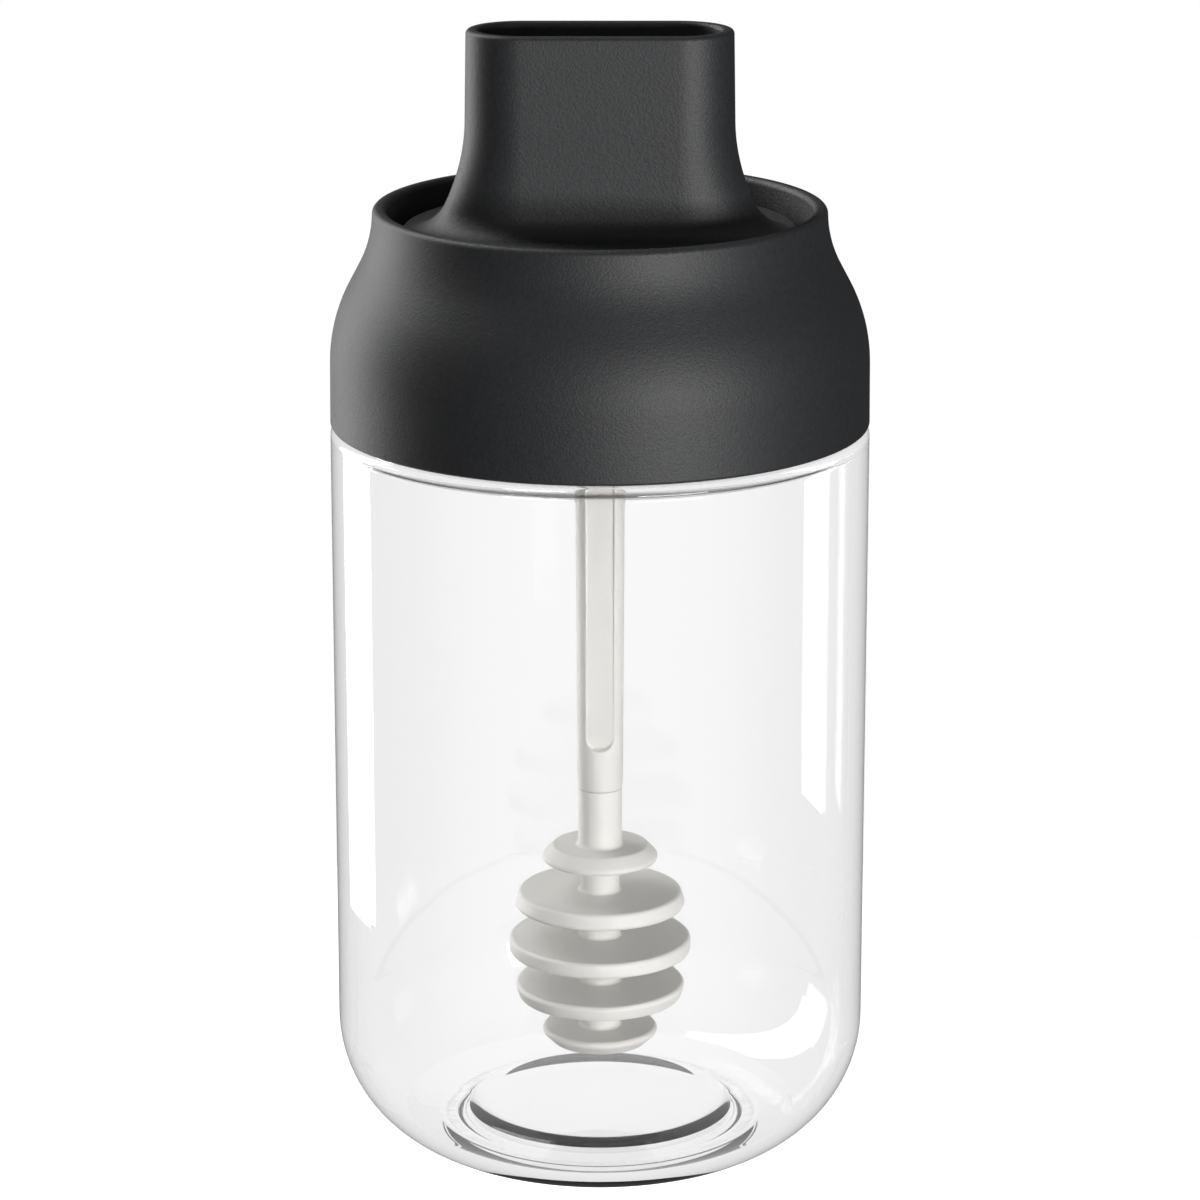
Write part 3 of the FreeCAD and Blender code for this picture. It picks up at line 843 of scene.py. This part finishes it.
def dipper_head():
    """Round-edged discs on a shaft, with a neck under the stem and a peg up into it."""
    half = DISC_THICKNESS / 2
    lowest = HEAD_MIDDLE - DISC_SPACING * (DISC_COUNT - 1) / 2
    corners = [(0, lowest - half)]
    for i in range(DISC_COUNT):
        middle = lowest + DISC_SPACING * i
        if i > 0:
            corners.append((SHAFT_RADIUS, middle - half, SHAFT_ROUND))
        corners.append((head_reach(middle - half), middle - half, DISC_ROUND))
        corners.append((head_reach(middle + half), middle + half, DISC_ROUND))
        above = SHAFT_RADIUS if i < DISC_COUNT - 1 else HEAD_NECK_RADIUS
        corners.append((above, middle + half, SHAFT_ROUND))
    corners += [
        (HEAD_NECK_RADIUS, STEM_FOOT - FIT, NECK_ROUND),
        (PEG_RADIUS, STEM_FOOT - FIT),
        (PEG_RADIUS, STEM_FOOT + PEG_LENGTH),
        (0, STEM_FOOT + PEG_LENGTH),
    ]
    piece = lathe("honey_dipper", rounded(corners), around=HEAD_AROUND)
    place(piece, "stopper", PALE, "dipper_head")


def panel_inside(x, z):
    """How far a point lies inside the front panel's outline, negative outside it."""
    corner = PANEL_HALF_WIDTH * PANEL_ROUNDNESS
    if z < PANEL_END + corner:
        dx = max(0.0, abs(x) - (PANEL_HALF_WIDTH - corner))
        return corner - math.hypot(dx, z - PANEL_END - corner)
    return min(PANEL_HALF_WIDTH - abs(x), PANEL_TOP - z)


def stem_surface(angle, radius, height):
    """A point of the stem's side; inside the panel it drops to the panel's flat floor."""
    x, y = radius * math.sin(angle), -radius * math.cos(angle)
    if y < 0:
        share = min(1.0, max(0.0, 0.5 + panel_inside(x, height) / PANEL_SLOPE))
        share = share * share * (3 - 2 * share)
        y += (-PANEL_FLOOR - y) * share
    return x, y, height


def dipper_stem():
    """Stem from the dipper head to its socket, with a collar under the plug and a sunk panel."""
    under_plug = PLUG_BOTTOM - FIT
    collar_low = under_plug - STEM_COLLAR_HEIGHT
    points = rounded([
        (0, STEM_FOOT),
        (HEAD_NECK_RADIUS, STEM_FOOT, STEM_FOOT_ROUND),
        (STEM_LOW_RADIUS, STEM_FOOT + STEM_TAPER, STEM_ROUND),
        (STEM_TOP_RADIUS, collar_low),
        (STEM_COLLAR, collar_low, STEM_COLLAR_LOW_ROUND),
        (STEM_COLLAR, under_plug, STEM_COLLAR_TOP_ROUND),
        (STEM_TOP_RADIUS, under_plug),
        (STEM_TOP_RADIUS, SOCKET_TOP - STEM_END_GAP, STEM_ROUND),
        (0, SOCKET_TOP - STEM_END_GAP),
    ])
    points = refined(points, PANEL_END - PANEL_MARGIN, PANEL_TOP + PANEL_MARGIN, PANEL_STEP)
    across = np.linspace(-STEM_FRONT, STEM_FRONT, STEM_FRONT_POINTS)
    front = [math.asin(x / STEM_TOP_RADIUS) for x in across]
    back = list(np.linspace(front[-1], front[0] + 2 * math.pi, STEM_BACK_POINTS))[1:-1]
    angles = front + back
    vertices, rings = [], []
    for point in points:
        ring = []
        for angle in angles if point.x > ON_AXIS else angles[:1]:
            ring.append(len(vertices))
            vertices.append(stem_surface(angle, point.x, point.y))
        rings.append(ring)
    piece = mesh_piece("honey_stem", vertices, join_rings(rings), sharp=STEM_SHARP_ANGLE)
    place(piece, "stopper", PALE, "dipper_stem")


# ---------------------------------------------------------------- stage, light and camera


def background_seen(nodes):
    """1 where a ray comes straight from the camera or through a few glass faces, undiffused.

    Mirrored rays see the dim room instead, as the black lid and the glass do in the photograph.
    """
    path = nodes.new("ShaderNodeLightPath").outputs
    seen = nodes.combine("MAXIMUM", path["Is Camera Ray"], path["Is Transmission Ray"])
    for depth, limit in (("Diffuse Depth", 0.5), ("Transmission Depth", WHITE_FACES)):
        seen = nodes.combine("MULTIPLY", seen, nodes.combine("LESS_THAN", path[depth], limit))
    return seen


def world():
    """White where it is seen, and a dim room that is lighter overhead where it lights the object."""
    studio = bpy.data.worlds.new("studio")
    bpy.context.scene.world = studio
    studio.use_nodes = True
    nodes = NodeTree(studio.node_tree)
    direction = nodes.new("ShaderNodeTexCoord")
    split = nodes.new("ShaderNodeSeparateXYZ")
    nodes.link(direction.outputs["Generated"], split.inputs["Vector"])
    level = nodes.new("ShaderNodeMapRange", interpolation_type="SMOOTHSTEP")
    level.inputs["From Min"].default_value = ROOM_FROM
    level.inputs["From Max"].default_value = 1.0
    level.inputs["To Min"].default_value = ROOM_LOW
    level.inputs["To Max"].default_value = ROOM_HIGH
    nodes.link(split.outputs["Z"], level.inputs["Value"])
    room = nodes.tree.nodes["Background"]
    room.inputs["Color"].default_value = (1.0, 1.0, 1.0, 1.0)
    nodes.link(level.outputs["Result"], room.inputs["Strength"])
    backdrop = nodes.new("ShaderNodeBackground")
    backdrop.inputs["Color"].default_value = (1.0, 1.0, 1.0, 1.0)
    shaders = [background.outputs["Background"] for background in (room, backdrop)]
    surface = nodes.mixed(background_seen(nodes), *shaders)
    nodes.link(surface, nodes.tree.nodes["World Output"].inputs["Surface"])


def floor():
    """A pale round table top, seen as white with the object's shadow on it."""
    angles = [2 * math.pi * k / FLOOR_CORNERS for k in range(FLOOR_CORNERS)]
    rim = [(FLOOR_RADIUS * math.cos(angle), FLOOR_RADIUS * math.sin(angle), 0) for angle in angles]
    mesh = bpy.data.meshes.new("floor")
    mesh.from_pydata(rim, [], [range(FLOOR_CORNERS)])
    piece = bpy.data.objects.new("floor", mesh)
    bpy.context.scene.collection.objects.link(piece)
    nodes = Nodes("floor_white")
    nodes.set(Roughness=FLOOR_ROUGH, Specular_IOR_Level=0.0)
    camera_ray = nodes.new("ShaderNodeLightPath").outputs["Is Camera Ray"]
    nodes.link(nodes.blend(camera_ray, FLOOR_BOUNCE, FLOOR_SEEN), nodes.shader.inputs["Base Color"])
    white = nodes.spread(camera_ray, FLOOR_THROUGH, FLOOR_WHITE)
    glow = nodes.new("ShaderNodeEmission")
    nodes.link(nodes.combine("MULTIPLY", background_seen(nodes), white), glow.inputs["Strength"])
    both = nodes.new("ShaderNodeAddShader")
    nodes.link(nodes.shader.outputs["BSDF"], both.inputs[0])
    nodes.link(glow.outputs["Emission"], both.inputs[1])
    nodes.link(both.outputs["Shader"], nodes.output.inputs["Surface"])
    dress(piece, nodes.material)


def lamp(name, place_at, target, width, height, watts):
    """A soft rectangular lamp that faces its target."""
    light = bpy.data.lights.new(name, "AREA")
    light.shape = "RECTANGLE"
    light.size, light.size_y = width, height
    light.energy = watts
    obj = bpy.data.objects.new(name, light)
    obj.location = place_at
    obj.rotation_euler = (Vector(target) - Vector(place_at)).to_track_quat("-Z", "Y").to_euler()
    bpy.context.scene.collection.objects.link(obj)


def camera():
    """The camera that fits the photograph: straight in front and looking down a little."""
    data = bpy.data.cameras.new("camera")
    data.sensor_width = SENSOR_WIDTH
    data.lens = CAMERA_LENS
    obj = bpy.data.objects.new("camera", data)
    obj.location = CAMERA_AT
    obj.rotation_euler = (math.radians(90 - CAMERA_DOWN), 0.0, 0.0)
    bpy.context.scene.collection.objects.link(obj)
    bpy.context.scene.camera = obj


camera()
world()
floor()
lamp("key", KEY_AT, KEY_AIM, KEY_WIDTH, KEY_HEIGHT, KEY_WATTS)
lamp("rim", RIM_LAMP_AT, RIM_LAMP_AIM, RIM_LAMP_WIDTH, RIM_LAMP_HEIGHT, RIM_LAMP_WATTS)
lamp("top", TOP_AT, TOP_AIM, TOP_SIZE, TOP_SIZE, TOP_WATTS)
bpy.context.scene.view_settings.view_transform = "Standard"

glass_jar()
collar()
stopper_handle()
stopper_plug()
stopper_seal()
dipper_stem()
dipper_head()
